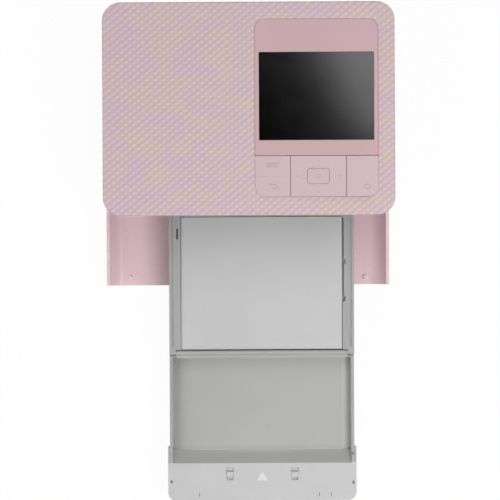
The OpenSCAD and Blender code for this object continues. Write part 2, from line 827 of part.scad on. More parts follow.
module bush_holes(x) {
    for (at = [platen_at, capstan_at, pinch_at, pickup_at, head_at]) {
        x_rod(bush_r, x - 1, x + plate_t + 1, at);
    }
}

module left_plate() {
    stud_r = 1.5;
    x = left_x - plate_t;
    color("#b6b9bc") from_front() {
        difference() {
            plate_outline(2.6, x, -1);
            bush_holes(x);
        }
        for (at = [rear_at, front_at]) {
            x_rod(stud_r, gear_x1 - 0.3, x, at);
        }
    }
}

module right_plate() {
    x = right_x;
    tab_y = takeup_y + lobe_r + eject_lift + eject_w + 0.4;
    tab_w = 7;
    color("#b6b9bc") from_front() {
        difference() {
            plate_outline(2.6, x, 1);
            bush_holes(x);
            // openings for the two halves of the ink cassette, and for the bar between them
            for (y = [supply_y, takeup_y]) {
                span([x - 1, y - lobe_r - ink_gap, ink_z - ink_gap],
                    [x + plate_t + 1, y + lobe_r + ink_gap, ink_top + ink_gap]);
            }
            span([x - 1, supply_y, ink_z - ink_gap], [x + plate_t + 1, takeup_y, ink_z + ink_bar_h + ink_gap]);
        }
        // bracket and stud of the eject lever
        span([x, tab_y, eject_z - 1.8], [x + tab_w, tab_y + plate_t, eject_z + 3.2]);
        translate([eject_x, tab_y, eject_z]) rotate([90, 0, 0]) cylinder(r = eject_stud_r, h = eject_w + 0.6);
    }
}

module eject_lever() {
    y0 = takeup_y + lobe_r + eject_lift;
    arm_l = ink_right + ink_handle_t + ink_grip - 0.5 - eject_x;
    arm_h = 2;
    hook_w = 1.4;
    hook_h = 2;
    color("#d9d4c6") from_front() difference() {
        union() {
            translate([eject_x, y0, eject_z]) rotate([-90, 0, 0]) cylinder(r = eject_stud_r + 1.2, h = eject_w);
            span([eject_x, y0, eject_z - arm_h / 2], [eject_x + arm_l, y0 + eject_w, eject_z + arm_h / 2]);
            span([eject_x + arm_l - hook_w, y0, eject_z - arm_h / 2 - hook_h],
                [eject_x + arm_l, y0 + eject_w, eject_z + arm_h / 2]);
        }
        translate([eject_x, y0 - 1, eject_z]) rotate([-90, 0, 0]) cylinder(r = eject_stud_r + fit, h = eject_w + 2);
    }
}

module tie_bars() {
    color("#c4c6c8") from_front() for (at = [tie_front, tie_rear]) {
        x_rod(2, left_x, right_x, at);
    }
}

module paper_guide() {
    guide_t = 2;
    y0 = tray_in + 1.5;
    y1 = capstan_y - capstan_r - 1.9;
    y2 = capstan_y - capstan_r - 0.9;
    knee = (y0 + y1) / 2 - 3.8;
    bend = y0 + 0.76 * (y1 - y0);
    z0 = paper_top - 2.6;
    z1 = paper_top + 1.9;
    z2 = path_z - 7.4;
    z3 = path_z - 1.8;
    points = [
        [y0, z0 - guide_t], [y0, z0], [knee, z1], [bend, z2], [y1, z3], [y2, z3],
        [y2, z3 - guide_t], [bend + 0.6, z2 - guide_t], [knee + 0.6, z1 - guide_t]
    ];
    color("#4a4a4d") from_front() x_profile(points, left_x, right_x);
}

module roller_bushes() {
    color("#e3dfd2") from_front() for (x = [left_x - plate_t, right_x]) {
        for (at = [platen_at, capstan_at, pinch_at, pickup_at, head_at]) {
            difference() {
                union() {
                    x_rod(bush_r - 0.02, x - 1, x + plate_t + 1, at);
                    x_rod(bush_flange_r, x < 0 ? x + plate_t : x - bush_flange_t,
                        x < 0 ? x + plate_t + bush_flange_t : x, at);
                }
                x_rod(shaft_r + fit, x - 2, x + plate_t + 2, at);
            }
        }
    }
}

module platen_roller() {
    color("#2f2f31") from_front() {
        x_rod(platen_r, tray_x - roller_l / 2, tray_x + roller_l / 2, platen_at);
        x_rod(shaft_r, shaft_left, shaft_right, platen_at);
    }
}

module capstan_roller() {
    color("#a7aaad") from_front() {
        x_rod(capstan_r, tray_x - roller_l / 2, tray_x + roller_l / 2, capstan_at);
        x_rod(shaft_r, shaft_left, shaft_right, capstan_at);
    }
}

module pinch_roller() {
    color("#3d3d40") from_front() {
        x_rod(capstan_r, tray_x - roller_l / 2, tray_x + roller_l / 2, pinch_at);
        x_rod(shaft_r, left_x - plate_t - 1, shaft_right, pinch_at);
    }
}

module pickup_roller() {
    tyre_w = 20;
    color("#2f2f31") from_front() {
        for (x = [tray_x - 24, tray_x + 24]) {
            x_rod(pickup_r, x - tyre_w / 2, x + tyre_w / 2, pickup_at);
        }
        x_rod(shaft_r, shaft_left, shaft_right, pickup_at);
    }
}

module platen_gear() {
    color("#e8e6df") from_front() gear(roller_teeth, platen_phase, platen_at, shaft_r + 0.01);
}

module capstan_gear() {
    color("#e8e6df") from_front() gear(roller_teeth, capstan_phase, capstan_at, shaft_r + 0.01);
}

module pickup_gear() {
    color("#e8e6df") from_front() gear(roller_teeth, pickup_phase, pickup_at, shaft_r + 0.01);
}

module rear_idler() {
    color("#dedbd1") from_front() gear(rear_teeth, rear_phase, rear_at, 1.5 + fit);
}

module front_idler() {
    color("#dedbd1") from_front() gear(front_teeth, front_phase, front_at, 1.5 + fit);
}

module feed_pinion() {
    color("#c9a85a") from_front() {
        gear(pinion_teeth, feed_phase, feed_at, 0.8);
        x_rod(0.8, bracket_x - bracket_t, gear_x0, feed_at);
    }
}

module head_pinion() {
    color("#c9a85a") from_front() {
        gear(pinion_teeth, lift_phase, lift_at, 0.8);
        x_rod(0.8, bracket_x - bracket_t, gear_x0, lift_at);
    }
}

module motor_can(r, l, at) {
    x1 = bracket_x - bracket_t;
    x_rod(r, x1 - l, x1, at);
}

module feed_motor() {
    color("#9da0a4") from_front() motor_can(feed_motor_r, feed_motor_l, feed_at);
}

module head_motor() {
    color("#9da0a4") from_front() motor_can(head_motor_r, head_motor_l, lift_at);
}

leg_r = 2;
leg_edge = leg_r + 1;
bracket_legs = [
    [lift_at[0] - head_motor_r + 1.45, plate_top - leg_edge],
    [head_at[0] + pitch_r(roller_teeth) + 1.3, plate_top - leg_edge],
    [plate_rear - leg_r - 1.5, pinch_at[1] + bush_flange_r + leg_r + 0.45]
];

module motor_bracket() {
    y0 = bracket_legs[0][0] - leg_edge;
    y1 = bracket_legs[2][0] + leg_edge;
    color("#b6b9bc") from_front() difference() {
        union() {
            span([bracket_x - bracket_t, y0, lift_at[1] - 7], [bracket_x, y1, plate_top]);
            for (at = bracket_legs) {
                x_rod(leg_r, bracket_x - 0.1, left_x - plate_t, at);
            }
        }
        for (at = [feed_at, lift_at]) {
            x_rod(0.8 + fit + 0.5, bracket_x - bracket_t - 1, bracket_x + 1, at);
        }
    }
}

// ---- Print head ----

cheek_left = tray_x - head_l / 2 - 3.5;
cheek_right = tray_x + head_l / 2 + 1.5;

module head_arm() {
    hub_r = 2.9;
    cheek_t = 2;
    z0 = head_z + head_bead + head_t;
    arm_front = platen_y - 8;
    arm_rear = platen_y + 7;
    cheek = [
        [arm_front, z0], [arm_rear, z0], [head_at[0] + 2, head_at[1] - 1.5],
        [head_at[0] - 2, head_at[1] + 2], [arm_front, z0 + 3]
    ];
    color("#aeb1b4") from_front() {
        difference() {
            union() {
                span([cheek_left, arm_front, z0], [cheek_right + cheek_t, arm_rear, z0 + arm_t]);
                for (x = [cheek_left, cheek_right]) {
                    x_profile(cheek, x, x + cheek_t);
                    x_rod(hub_r, x, x + cheek_t, head_at);
                }
            }
            x_rod(shaft_r + 0.01, cheek_left - 1, cheek_right + cheek_t + 1, head_at);
        }
        // toothed sector on the end of the shaft
        intersection() {
            gear(sector_teeth, head_bearing, head_at, shaft_r + 0.01);
            union() {
                x_profile([head_at, head_at + 20 * [cos(head_bearing - 24), sin(head_bearing - 24)],
                    head_at + 20 * [cos(head_bearing + 24), sin(head_bearing + 24)]], gear_x1, gear_x0);
                x_rod(4, gear_x1, gear_x0, head_at);
            }
        }
    }
}

module head_shaft() {
    color("#c4c6c8") from_front() x_rod(shaft_r, shaft_left, shaft_right, head_at);
}

module heat_sink() {
    z0 = head_z + head_t + head_bead + arm_t;
    fin_count = 4;
    fin_t = 1.2;
    fin_h = 5;
    fin_pitch = 3;
    sink_t = 2;
    sink_y = platen_y - 7.5;
    color("#b9bcc0") from_front() {
        span([tray_x - head_l / 2, sink_y, z0],
            [tray_x + head_l / 2, sink_y + (fin_count - 1) * fin_pitch + fin_t + 0.6, z0 + sink_t]);
        for (i = [0 : fin_count - 1]) {
            translate([tray_x - head_l / 2, sink_y + i * fin_pitch, z0 + sink_t]) cube([head_l, fin_t, fin_h]);
        }
    }
}

module thermal_head() {
    plate_half = 6;
    bead_half = 1;
    color("#d8d2c2") from_front() {
        span([tray_x - head_l / 2, platen_y - plate_half, head_z + head_bead],
            [tray_x + head_l / 2, platen_y + plate_half, head_z + head_bead + head_t]);
        span([tray_x - head_l / 2, platen_y - bead_half, head_z],
            [tray_x + head_l / 2, platen_y + bead_half, head_z + head_bead]);
    }
}

// ---- Ink cassette ----

module spool_lobe(y, inner_side) {
    span([ink_left, y - lobe_r, ink_top - ink_wall], [ink_right, y + lobe_r, ink_top]);
    span([ink_left, inner_side > 0 ? y - lobe_r : y + lobe_r - ink_wall, ink_z],
        [ink_right, inner_side > 0 ? y - lobe_r + ink_wall : y + lobe_r, ink_top]);
    span([ink_left, inner_side > 0 ? y + lobe_r - ink_wall : y - lobe_r, spool_z],
        [ink_right, inner_side > 0 ? y + lobe_r : y - lobe_r + ink_wall, ink_top]);
}

module ink_frame() {
    color("#e7e4dc") from_front() difference() {
        union() {
            spool_lobe(supply_y, 1);
            spool_lobe(takeup_y, -1);
            for (x = [ink_left, ink_inner_end]) {
                for (y = [supply_y, takeup_y]) {
                    span([x, y - lobe_r, ink_z], [x + 1.5, y + lobe_r, ink_top]);
                }
                span([x, supply_y, ink_z], [x + 1.5, takeup_y, ink_z + ink_bar_h]);
            }
            translate([ink_right - ink_wall, supply_y - lobe_r, ink_z])
                cube([ink_wall + ink_handle_t, takeup_y - supply_y + 2 * lobe_r, ink_top - ink_z]);
            translate([ink_right + ink_handle_t - 0.1, platen_y - 9, spool_z - 1]) cube([ink_grip + 0.1, 15, 2]);
        }
        for (y = [supply_y, takeup_y]) {
            x_rod(journal_r + fit, ink_left - 1, ink_inner_end + 3, [y, spool_z]);
        }
    }
}

module ink_film() {
    color("#3b3f6b") from_front()
        span([tray_x - film_w / 2, supply_y, film_z], [tray_x + film_w / 2, takeup_y, film_z + film_t]);
}

module spool(r, y) {
    x_rod(journal_r, ink_left + 0.3, ink_inner_end + 1.5, [y, spool_z]);
    x_rod(core_r, tray_x - spool_end, tray_x + spool_end, [y, spool_z]);
    x_rod(r, tray_x - film_w / 2, tray_x + film_w / 2, [y, spool_z]);
}

module supply_spool() {
    color("#d9a25e") from_front() spool(supply_r, supply_y);
}

module takeup_spool() {
    color("#3a3a3e") from_front() spool(takeup_r, takeup_y);
}

module ink_cover() {
    x0 = body_w / 2 - wall;
    gap = 0.25;
    pin_r = wall / 4;
    notch_w = 12;
    mid = (ink_door_front + ink_door_rear) / 2;
    color("#cdb6bb") from_front() difference() {
        union() {
            span([x0, ink_door_front + gap, ink_pivot_z], [x0 + wall, ink_door_rear - gap, ink_door_top - gap]);
            translate([x0 + wall / 2, ink_door_front + gap, ink_pivot_z]) rotate([-90, 0, 0])
                cylinder(d = wall, h = ink_door_rear - ink_door_front - 2 * gap);
        }
        translate([x0 + wall / 2, ink_door_front - 5, ink_pivot_z]) rotate([-90, 0, 0])
            cylinder(r = pin_r + fit, h = ink_door_rear - ink_door_front + 10);
        span([x0 + wall - 0.8, mid - notch_w / 2, ink_door_top - 3],
            [x0 + wall + 1, mid + notch_w / 2, ink_door_top]);
    }
}

module ink_cover_pin() {
    color("#c4c6c8") from_front() translate([body_w / 2 - wall / 2, ink_door_front - 2.8, ink_pivot_z])
        rotate([-90, 0, 0]) cylinder(r = wall / 4, h = ink_door_rear - ink_door_front + 5.6);
}

// ---- Front door ----

module door_closed() {
    translate([0, 0, door_bottom]) linear_extrude(door_top - door_bottom) wall_ring(0, wall, 0, body_r);
    for (side = [-1, 1]) {
        translate([side * door_hinge_x, 0, 0]) {
            x_rod(hinge_r, -hinge_w / 2, hinge_w / 2, [door_pivot_y, door_pivot_z]);
            translate([-hinge_w / 2, wall - 0.1, door_pivot_z - hinge_r])
                cube([hinge_w, door_pivot_y - wall, 2 * hinge_r]);
        }
        // latch bump
        translate([side * latch_x, wall, door_top - latch_drop]) rotate([-90, 0, 0])
            cylinder(d1 = latch_w, d2 = latch_w - latch_h, h = latch_h);
    }
}

module front_door() {
    color("#cba9ad") from_front() difference() {
        translate([0, door_pivot_y, door_pivot_z]) rotate([90, 0, 0])
            translate([0, -door_pivot_y, -door_pivot_z]) door_closed();
        for (side = [-1, 1]) {
            x_rod(door_pin_d / 2 + fit, side * door_hinge_x - 10, side * door_hinge_x + 10,
                [door_pivot_y, door_pivot_z]);
        }
    }
}

module door_pins() {
    half = hinge_w / 2 + 0.3 + ear_w;
    color("#c4c6c8") from_front() for (side = [-1, 1]) {
        x_rod(door_pin_d / 2, side * door_hinge_x - half, side * door_hinge_x + half, [door_pivot_y, door_pivot_z]);
    }
}

// ---- Paper cassette ----

module from_tray() {
    translate([tray_x, front_y, 0]) children();
}

module cassette_base() {
    half = tray_w / 2;
    notch_y = 11.2;
    groove_x = half - 2;
    groove_w = 1;
    groove_h = 0.5;
    color("#b4b5b6") from_tray() difference() {
        union() {
            difference() {
                span([-half, base_start, tray_z], [half, tray_in, rail_top]);
                span([-well_w / 2, well_start, tray_floor], [well_w / 2, well_end, rail_top + 1]);
                span([-inner_w / 2 - 0.2, well_start, lid_rest], [inner_w / 2 + 0.2, -0.2, rail_top + 1]);
                // low front bar below the inner lid's hinge, and low rear wall
                span([-inner_w / 2 - 0.2, base_start - 1, inner_axis_z - inner_r - lid_gap],
                    [inner_w / 2 + 0.2, inner_axis_y + inner_r + lid_gap, rail_top + 1]);
                span([-well_w / 2, well_end - 1, paper_top - 4.6], [well_w / 2, tray_in + 1, rail_top + 1]);
            }
            span([-well_w / 2 - 0.1, -0.2, lid_rest], [well_w / 2 + 0.1, deck_l, deck_z]);
            // front edge of the floor, under the lid hinge
            span([-half, lid_start + 0.7, tray_z], [half, base_start + 0.1, tray_floor]);
            // ears that carry the outer lid
            for (side = [-1, 1]) {
                x0 = side > 0 ? half - ear_l : -half;
                x_rod(barrel_r, x0, x0 + ear_l, [lid_axis_y, lid_axis_z]);
                span([x0, lid_axis_y, lid_axis_z - barrel_r], [x0 + ear_l, base_start + 0.1, rail_top]);
            }
        }
        x_rod(outer_pin_r + fit, -half - 1, half + 1, [lid_axis_y, lid_axis_z]);
        x_rod(inner_pin_r + fit, -half + 3, half - 3, [inner_axis_y, inner_axis_z]);
        x_rod(lift_pin_r + fit, -well_w / 2 - 3, well_w / 2 + 3, [lift_axis_y, lift_z + lift_t / 2]);
        // guide grooves along the rails
        for (x = [-groove_x, groove_x]) {
            span([x - groove_w / 2, well_start, rail_top - groove_h], [x + groove_w / 2, tray_in - 6, rail_top + 1]);
        }
        // finger slot and snap notches of the inner lid in the rails
        span([-half + 4.6, -notch_y - 3.4, lid_rest + 0.2], [-half + 5.8, -notch_y + 3.4, rail_top + 1]);
        span([inner_w / 2, -notch_y - 43.8, lid_rest + 0.2], [inner_w / 2 + 1, -1, rail_top + 1]);
        for (y = [-notch_y - 18, -notch_y - 41.6]) {
            span([inner_w / 2, y - 1.4, lid_rest + 0.2], [inner_w / 2 + 2.2, y + 1.4, rail_top + 1]);
        }
    }
}

module separation_pad() {
    color("#4a3a34") from_tray() span([-10, well_end, paper_top - 4.6], [10, tray_in, paper_top - 1.4]);
}

module lift_plate() {
    color("#9ea0a2") from_tray() {
        span([-paper_w / 2, lift_axis_y, lift_z], [paper_w / 2, well_end - 2, lift_z + lift_t]);
        x_rod(lift_axis_r, -paper_w / 2, paper_w / 2, [lift_axis_y, lift_z + lift_t / 2]);
        x_rod(lift_pin_r, -well_w / 2 - 2.6, well_w / 2 + 2.6, [lift_axis_y, lift_z + lift_t / 2]);
    }
}

module leaf_springs() {
    leaf_t = 0.5;
    leaf_w = 8;
    foot_l = 8;
    slope_l = 16;
    leaf_x = 26;
    y0 = pickup_y - foot_l - slope_l - 2;
    y1 = y0 + foot_l;
    y2 = y1 + slope_l;
    leaf = [
        [y0, tray_floor], [y1, tray_floor], [y2, lift_z - leaf_t], [y2 + foot_l, lift_z - leaf_t],
        [y2 + foot_l, lift_z], [y2 - 0.4, lift_z], [y1 - 0.4, tray_floor + leaf_t], [y0, tray_floor + leaf_t]
    ];
    color("#c4c6c8") from_tray() for (x = [-leaf_x, leaf_x]) {
        x_profile(leaf, x - leaf_w / 2, x + leaf_w / 2);
    }
}

module paper_stack() {
    color("#f4f3ef") from_tray()
        span([-paper_w / 2, paper_rear - paper_l, lift_z + lift_t], [paper_w / 2, paper_rear, paper_top]);
}

module lid_pins() {
    half = tray_w / 2;
    color("#c4c6c8") from_tray() for (side = [-1, 1]) {
        x0 = side > 0 ? half - ear_l - 5 : -half + 0.5;
        x_rod(outer_pin_r, x0, x0 + ear_l + 4.5, [lid_axis_y, lid_axis_z]);
        x1 = side > 0 ? inner_w / 2 - 4 : -half + 3.2;
        x_rod(inner_pin_r, x1, x1 + half - inner_w / 2 + 0.8, [inner_axis_y, inner_axis_z]);
    }
}

module inner_lid() {
    color("#c3c4c4") from_tray() difference() {
        union() {
            span([-inner_w / 2, inner_axis_y, lid_rest], [inner_w / 2, -0.5, deck_z]);
            x_rod(inner_r, -inner_w / 2, inner_w / 2, [inner_axis_y, inner_axis_z]);
        }
        x_rod(inner_pin_r + fit, -tray_w, tray_w, [inner_axis_y, inner_axis_z]);
    }
}

module lid_outline() {
    half = tray_w / 2;
    end = -tray_reach;
    translate([-half, end + lip_l]) square([tray_w, lid_start - end - lip_l]);
    translate([-lip_w / 2, end + lip_r]) square([lip_w, lip_l - lip_r]);
    translate([-lip_w / 2 + lip_r, end]) square([lip_w - 2 * lip_r, lip_r + 1]);
    for (x = [-lip_w / 2 + lip_r, lip_w / 2 - lip_r]) {
        translate([x, end + lip_r]) circle(lip_r, $fn = 64);
    }
}

module outer_lid() {
    half = tray_w / 2;
    side = half - tray_wall - 0.2;
    end = -tray_reach;
    t = tray_wall;
    web_h = 1.6;
    web_drop = 0.4;
    lip_y = end + lip_flat;
    slope_y = lip_y + lip_slope;
    floor_under = lid_z + gutter_h;
    floor_top = floor_under + t;
    // floor between two gutters, and side walls
    pan = [
        [-half, lid_z], [-side, lid_z], [-inner_w / 2, floor_under], [inner_w / 2, floor_under],
        [side, lid_z], [half, lid_z], [half, lid_top], [side, lid_top],
        [side, lid_z + t], [inner_w / 2, floor_top], [-inner_w / 2, floor_top], [-side, lid_z + t],
        [-side, lid_top], [-half, lid_top]
    ];
    // bent sheet: slope, lip and end wall
    sheet = [
        [slope_y, lid_z], [slope_y, floor_top], [lip_y, lid_top], [end - 1, lid_top],
        [end - 1, lid_z], [end + t, lid_z], [end + t, lid_top - t], [lip_y - 0.7, lid_top - t],
        [slope_y - t, floor_under], [slope_y - t, lid_z]
    ];
    color("#acadae") from_tray() difference() {
        union() {
            y_profile(pan, slope_y - 0.5, lid_start - 0.5);
            span([-half, lid_start - t, lid_z], [half, lid_start, lid_top]);
            intersection() {
                translate([0, 0, lid_z - 1]) linear_extrude(lid_h + 2) lid_outline();
                union() {
                    x_profile(sheet, -lip_w, lip_w);
                    for (sign = [-1, 1]) {
                        x0 = sign > 0 ? side : -lip_w;
                        span([x0, lip_y - 1, lid_z], [sign > 0 ? lip_w : -side, slope_y + 3, lid_top]);
                    }
                    difference() {
                        translate([0, 0, lid_z]) linear_extrude(lid_h) lid_outline();
                        translate([-half + 0.4, end + t, lid_z - 1]) cube([tray_w - 0.8, tray_reach, lid_h + 2]);
                        span([-lip_w, slope_y + 1, lid_z - 1], [lip_w, lid_start + 1, lid_top + 1]);
                    }
                }
            }
            // hinge barrel and its web
            x_rod(barrel_r, -half + ear_l + lid_gap, half - ear_l - lid_gap, [lid_axis_y, lid_axis_z]);
            span([-half + ear_l + lid_gap, lid_start - t, lid_axis_z - barrel_r - web_h],
                [half - ear_l - lid_gap, lid_axis_y, lid_axis_z - web_drop]);
            // two paper stops on the lip
            for (x = [-stop_x, stop_x]) {
                span([x - stop_w / 2, end + stop_y - stop_l / 2, lid_top - 0.5],
                    [x + stop_w / 2, end + stop_y + stop_l / 2, lid_top + stop_h]);
            }
        }
        x_rod(outer_pin_r + fit, -half - 1, half + 1, [lid_axis_y, lid_axis_z]);
        // dips before and behind each stop
        for (x = [-stop_x, stop_x]) {
            span([x - stop_w / 2 - 0.4, end + stop_y + stop_l / 2 + 0.4, lid_top - stop_depth],
                [x + stop_w / 2 + 0.4, end + stop_y + stop_l / 2 + 0.4 + stop_dip, lid_top + 1]);
            span([x - stop_w / 2, end + stop_y - stop_l / 2 - 2, lid_top - stop_depth],
                [x + stop_w / 2, end + stop_y - stop_l / 2 - 0.2, lid_top + 1]);
        }
    }
}

// ---- Keys ----

module key_block(x0, x1) {
    translate([0, 0, key_z]) linear_extrude(key_t) intersection() {
        display_plan(key_gap);
        translate([x0 + key_gap, panel_front]) square([x1 - x0 - 2 * key_gap, key_l - 2 * key_gap]);
    }
}

// Round ridge under a key, about which it rocks
module key_ridge(x0, x1) {
    x_rod(ridge_r, x0, x1, [key_mid, key_z]);
}

module key_stem(x, y) {
    translate([x, y, stem_z]) cylinder(d = stem_d, h = key_z - stem_z + 0.2);
}

module menu_key() {
    color("#d0bcc0") from_front() {
        key_block(panel_side, menu_end);
        key_ridge(panel_side + ridge_inset, menu_end - ridge_inset);
        for (side = [-1, 1]) {
            key_stem(panel_side + menu_w / 2, key_mid + side * menu_stem_y);
        }
    }
}

module four_way_pad() {
    color("#d0bcc0") from_front() {
        difference() {
            key_block(menu_end, pad_end);
            translate([pad_mid, key_mid - ok_l / 2 - key_gap, key_z - 1]) linear_extrude(key_t + 2)
                plan(ok_w + 2 * key_gap, ok_l + 2 * key_gap, ok_r + key_gap);
        }
        key_ridge(menu_end + ridge_inset, pad_mid - ok_w / 2 - ridge_inset);
        key_ridge(pad_mid + ok_w / 2 + ridge_inset, pad_end - ridge_inset);
        for (side = [-1, 1]) {
            key_stem(pad_mid + side * pad_stem_x, key_mid);
            key_stem(pad_mid, key_mid + side * pad_stem_y);
        }
    }
}

module ok_button() {
    color("#d4c0c3") from_front() {
        translate([pad_mid, key_mid - ok_l / 2, key_z]) linear_extrude(key_t) plan(ok_w, ok_l, ok_r);
        key_stem(pad_mid, key_mid);
    }
}

module power_key() {
    color("#d0bcc0") from_front() {
        key_block(pad_end, panel_side + panel_w);
        key_stem((pad_end + panel_side + panel_w) / 2, key_mid);
    }
}

base_pan();
case_wall();
top_cover();
display_panel();
screen_glass();
screen_module();
control_board();
front_fascia();
main_board();
power_inlet();
usb_port();
card_slot();
left_plate();
right_plate();
tie_bars();
paper_guide();
roller_bushes();
feed_motor();
motor_bracket();
head_motor();
rubber_feet();
case_screws();
battery_cap();
ink_cover_pin();
ink_frame();
ink_film();
front_door();
door_pins();
cassette_base();
paper_stack();
lid_pins();
leaf_springs();
separation_pad();
lift_plate();
outer_lid();
inner_lid();
ink_cover();
eject_lever();
supply_spool();
takeup_spool();
platen_roller();
platen_gear();
capstan_roller();
capstan_gear();
pinch_roller();
pickup_roller();
pickup_gear();
rear_idler();
front_idler();
feed_pinion();
head_arm();
head_shaft();
heat_sink();
thermal_head();
head_pinion();
menu_key();
four_way_pad();
ok_button();
power_key();
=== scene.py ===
import bpy
import json
import math
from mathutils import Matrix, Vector


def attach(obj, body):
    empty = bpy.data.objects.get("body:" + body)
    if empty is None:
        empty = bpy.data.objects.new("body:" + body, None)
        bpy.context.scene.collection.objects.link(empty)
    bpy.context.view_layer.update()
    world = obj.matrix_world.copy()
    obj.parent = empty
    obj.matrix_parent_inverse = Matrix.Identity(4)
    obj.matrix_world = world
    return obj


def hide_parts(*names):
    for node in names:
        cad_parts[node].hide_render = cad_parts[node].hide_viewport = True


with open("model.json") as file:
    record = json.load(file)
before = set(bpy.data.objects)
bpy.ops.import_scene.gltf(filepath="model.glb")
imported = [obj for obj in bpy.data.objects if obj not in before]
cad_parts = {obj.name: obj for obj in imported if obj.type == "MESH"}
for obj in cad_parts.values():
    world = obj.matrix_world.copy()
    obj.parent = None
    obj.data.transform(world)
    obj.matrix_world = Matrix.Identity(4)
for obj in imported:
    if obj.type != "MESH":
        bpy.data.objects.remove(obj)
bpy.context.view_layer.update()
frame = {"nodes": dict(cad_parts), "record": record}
nodes = frame["nodes"]
mm = 0.001
print("frame loaded:", len(nodes), "pieces")


# ---- camera: straight above, as the photograph is taken ----
cameraLook = {
    "height": 1300,  # mm above the floor
    "x": -26.4,
    "y": 3.04,
    "turn": -0.3,  # degrees
    "lens": 143.8,
    "shift": 0.086,
}


def placeCamera():
    bpy.ops.object.camera_add(
        location=(cameraLook["x"] * mm, cameraLook["y"] * mm, cameraLook["height"] * mm),
        rotation=(0, 0, math.radians(cameraLook["turn"])))
    camera = bpy.context.object
    camera.name = "aboveCamera"
    camera.data.sensor_width = 36
    camera.data.lens = cameraLook["lens"]
    camera.data.shift_x = cameraLook["shift"]
    camera.data.dof.use_dof = False
    bpy.context.scene.camera = camera


placeCamera()


# ---- finishes ----
def srgb(r, g, b):
    def plain(v):
        v = v / 255
        return v / 12.92 if v <= 0.04045 else ((v + 0.055) / 1.055) ** 2.4
    return (plain(r), plain(g), plain(b), 1)


def link(tree, a, b):
    tree.links.new(a, b)


def newMaterial(name):
    material = bpy.data.materials.new(name)
    material.use_nodes = True
    return material, material.node_tree, material.node_tree.nodes["Principled BSDF"]


def noise(tree, place, scale, detail=3, rough=0.5):
    node = tree.nodes.new("ShaderNodeTexNoise")
    node.inputs["Scale"].default_value = scale
    node.inputs["Detail"].default_value = detail
    node.inputs["Roughness"].default_value = rough
    link(tree, place, node.inputs["Vector"])
    return node.outputs["Fac"]


def objectPlace(tree, stretch=(1, 1, 1), turn=(0, 0, 0)):
    place = tree.nodes.new("ShaderNodeTexCoord")
    mapping = tree.nodes.new("ShaderNodeMapping")
    mapping.inputs["Scale"].default_value = stretch
    mapping.inputs["Rotation"].default_value = [math.radians(a) for a in turn]
    link(tree, place.outputs["Object"], mapping.inputs["Vector"])
    return mapping.outputs["Vector"]


def remap(tree, value, low, high, fromLow=0.3, fromHigh=0.7):
    node = tree.nodes.new("ShaderNodeMapRange")
    node.inputs["From Min"].default_value = fromLow
    node.inputs["From Max"].default_value = fromHigh
    node.inputs["To Min"].default_value = low
    node.inputs["To Max"].default_value = high
    link(tree, value, node.inputs["Value"])
    return node.outputs["Result"]


def mixColours(tree, factor, a, b):
    node = tree.nodes.new("ShaderNodeMix")
    node.data_type = "RGBA"
    link(tree, factor, node.inputs[0])
    for socket, colour in ((node.inputs[6], a), (node.inputs[7], b)):
        if isinstance(colour, tuple):
            socket.default_value = colour
        else:
            link(tree, colour, socket)
    return node.outputs[2]


def calc(tree, kind, a, b):
    node = tree.nodes.new("ShaderNodeMath")
    node.operation = kind
    for socket, value in ((node.inputs[0], a), (node.inputs[1], b)):
        if isinstance(value, (int, float)):
            socket.default_value = value
        else:
            link(tree, value, socket)
    return node.outputs[0]


def scaled(colour, k):
    return tuple(min(1, c * k) for c in colour[:3]) + (1,)


def bump(tree, shader, height, depth, strength=1):
    node = tree.nodes.new("ShaderNodeBump")
    node.inputs["Strength"].default_value = strength
    node.inputs["Distance"].default_value = depth
    link(tree, height, node.inputs["Height"])
    link(tree, node.outputs["Normal"], shader.inputs["Normal"])


# patch and grain are noise scales, grainDepth is in mm, brushed stretches the grain,
# and second is the other colour of the patches, where it isn't a lighter shade of the first
def finish(name, colour, rough, spread=0.06, patch=45, patchStrength=0.05, grain=2600, grainDepth=0.01,
           metal=0, coat=0, specular=0.5, brushed=None, second=None):
    material, tree, shader = newMaterial(name)
    place = objectPlace(tree)
    wide = noise(tree, place, patch, 2)
    fine = noise(tree, objectPlace(tree, brushed) if brushed else place, grain, 4, 0.6)
    soft = mixColours(tree, remap(tree, wide, 0, 1), scaled(colour, 1 - patchStrength),
                      second or scaled(colour, 1 + patchStrength))
    speck = mixColours(tree, remap(tree, fine, 0, 0.5), soft, scaled(colour, 0.93))
    link(tree, speck, shader.inputs["Base Color"])
    link(tree, remap(tree, fine, rough - spread, rough + spread), shader.inputs["Roughness"])
    shader.inputs["Metallic"].default_value = metal
    shader.inputs["Coat Weight"].default_value = coat
    shader.inputs["Coat Roughness"].default_value = 0.08
    shader.inputs["Specular IOR Level"].default_value = specular
    bump(tree, shader, fine, grainDepth * mm)
    return material


